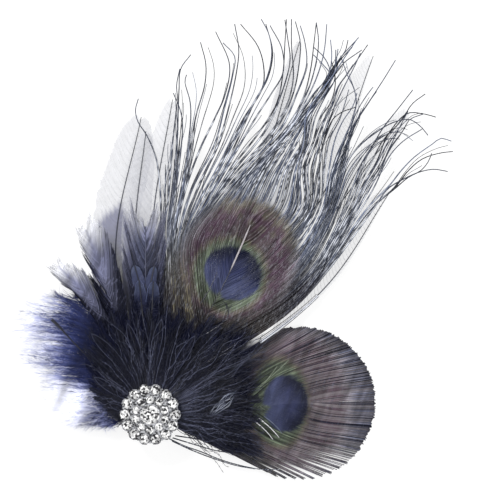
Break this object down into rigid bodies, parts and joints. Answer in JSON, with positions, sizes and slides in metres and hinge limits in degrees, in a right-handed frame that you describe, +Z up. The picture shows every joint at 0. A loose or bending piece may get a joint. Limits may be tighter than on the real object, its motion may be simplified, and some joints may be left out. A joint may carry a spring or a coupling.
{
  "type": "peacock feather hair clip",
  "caption": "Hair clip with a fan of peacock, clear and navy feathers and a fluffy blue plume held by a round rhinestone brooch.",
  "frame": {"origin": "the flat underside of the hair clip, straight under the centre of the brooch", "axes": "+Z up out of the brooch face, +Y towards the tips of the long peacock feather, +X towards the round trimmed feather"},
  "size_m": [0.1699, 0.1886, 0.0194],
  "materials": {
    "clip_steel": "satin plated spring steel",
    "setting_metal": "bright silver-tone plating with dark recesses",
    "clear_stone": "clear cut glass with a bright foil back",
    "clear_vane": "thin pale grey feather vane, half see-through",
    "navy_vane": "soft navy vane that fades to pale lavender at the tip",
    "grey_vane": "grey-blue vane with pale edges",
    "peacock_herl": "blue-grey to black herls with silvery flecks and a dark blue, green and bronze eye",
    "peacock_eye": "close barbs with a dark blue, green and bronze eye",
    "marabou_down": "fluffy royal blue down with near-white ends",
    "dark_strand": "glossy blue-black strands"
  },
  "bodies": {
    "root": {"hair_clip": "clip_steel", "brooch_setting": "setting_metal", "centre_stone": "clear_stone", "inner_stone_1": "clear_stone", "inner_stone_2": "clear_stone", "inner_stone_3": "clear_stone", "inner_stone_4": "clear_stone", "inner_stone_5": "clear_stone", "inner_stone_6": "clear_stone", "inner_stone_7": "clear_stone", "inner_stone_8": "clear_stone", "inner_stone_9": "clear_stone", "inner_stone_10": "clear_stone", "outer_stone_1": "clear_stone", "outer_stone_2": "clear_stone", "outer_stone_3": "clear_stone", "outer_stone_4": "clear_stone", "outer_stone_5": "clear_stone", "outer_stone_6": "clear_stone", "outer_stone_7": "clear_stone", "outer_stone_8": "clear_stone", "outer_stone_9": "clear_stone", "outer_stone_10": "clear_stone", "outer_stone_11": "clear_stone", "outer_stone_12": "clear_stone", "outer_stone_13": "clear_stone", "outer_stone_14": "clear_stone", "clear_feather_left_outer": "clear_vane", "clear_feather_left_middle": "clear_vane", "clear_feather_left_inner": "clear_vane", "clear_feather_top": "clear_vane", "clear_feather_right_upper": "clear_vane", "clear_feather_right_middle": "clear_vane", "clear_feather_right_low": "clear_vane", "navy_hackle_lower": "navy_vane", "navy_hackle_upper": "navy_vane", "grey_centre_feather": "grey_vane", "large_peacock_feather": "peacock_herl", "small_peacock_feather": "peacock_eye", "blue_marabou": "marabou_down", "dark_fan_upper": "dark_strand", "dark_fan_right": "dark_strand", "loose_low_herls": "peacock_herl"}
  },
  "joints": []
}
